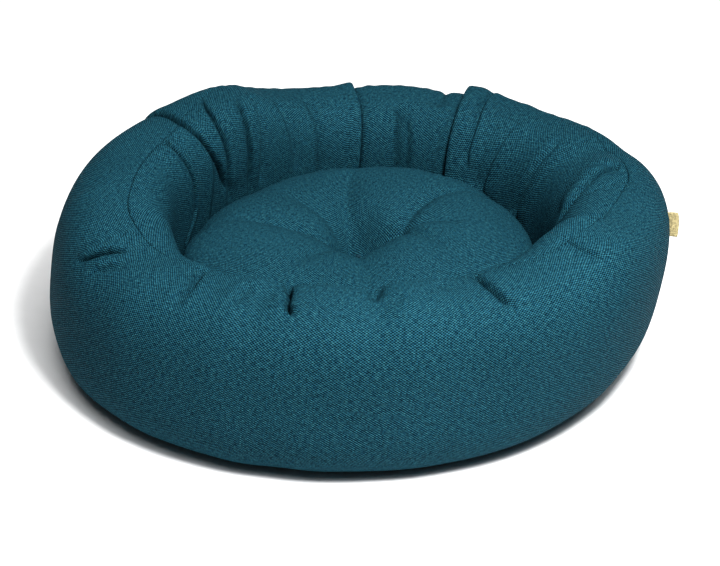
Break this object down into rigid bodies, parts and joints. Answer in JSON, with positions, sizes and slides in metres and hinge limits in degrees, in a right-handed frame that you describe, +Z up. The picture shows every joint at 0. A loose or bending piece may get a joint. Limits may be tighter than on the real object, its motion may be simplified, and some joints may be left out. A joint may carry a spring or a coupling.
{
  "type": "round pet bed",
  "caption": "Round pet bed: a stuffed ring in a zipped woven cover round a loose, centre-tufted cushion, with a small blank folded side label.",
  "frame": {"origin": "centre of the bed's underside, on the floor", "axes": "+Z up, -Y towards the front, +X towards the side with the label"},
  "size_m": [0.8125, 0.7999, 0.234],
  "materials": {
    "cover_cloth": "matte",
    "lining_cloth": "matte",
    "base_cloth": "matte",
    "casing_cloth": "matte",
    "stuffing": "matte",
    "thread": "matte",
    "zip_tape": "matte",
    "zip_chain": "matte",
    "zip_metal": "satin",
    "label_ribbon": "matte"
  },
  "bodies": {
    "bolster": {"base_panel": "base_cloth", "well_floor_lining": "lining_cloth", "outer_wall_panel": "cover_cloth", "inner_wall_panel": "cover_cloth", "bolster_casing": "casing_cloth", "bolster_filling": "stuffing", "crest_seam_allowance": "cover_cloth", "crest_seam_thread": "thread", "base_seam_allowance": "cover_cloth", "base_seam_thread": "thread", "floor_seam_allowance": "cover_cloth", "floor_seam_thread": "thread", "joining_seam_allowance": "cover_cloth", "joining_seam_thread": "thread", "zip_tape_upper": "zip_tape", "zip_tape_lower": "zip_tape", "zip_chain": "zip_chain", "zip_end_stops": "zip_metal"},
    "cushion": {"cushion_top_panel": "cover_cloth", "cushion_underside_panel": "cover_cloth", "cushion_casing": "casing_cloth", "cushion_filling": "stuffing", "cushion_seam_allowance": "cover_cloth", "cushion_seam_thread": "thread", "tuft_twine": "thread"},
    "zip_slider": {"zip_slider": "zip_metal"},
    "zip_pull": {"zip_pull_tab": "zip_metal"},
    "side_label": {"side_label": "label_ribbon"}
  },
  "joints": [
    {"name": "cushion_lift", "type": "slide", "parent": "bolster", "child": "cushion", "axis": [0, 0, 1], "range_m": [0, 0.28]},
    {"name": "zip_slider_travel", "type": "hinge", "parent": "bolster", "child": "zip_slider", "pos_m": [0, 0, 0.0338], "axis": [0, 0, 1], "range_deg": [0, 114]},
    {"name": "zip_pull_swing", "type": "hinge", "parent": "zip_slider", "child": "zip_pull", "pos_m": [0.3295, 0.21398, 0.03145], "axis": [0.5446, -0.8387, 0], "range_deg": [-15, 130]},
    {"name": "side_label_flex", "type": "hinge", "parent": "bolster", "child": "side_label", "pos_m": [0.39441, -0.03451, 0.18077], "axis": [-0.2339, 0.0205, 0.972], "range_deg": [-60, 60], "stiffness_Nm_per_rad": 0.002}
  ]
}
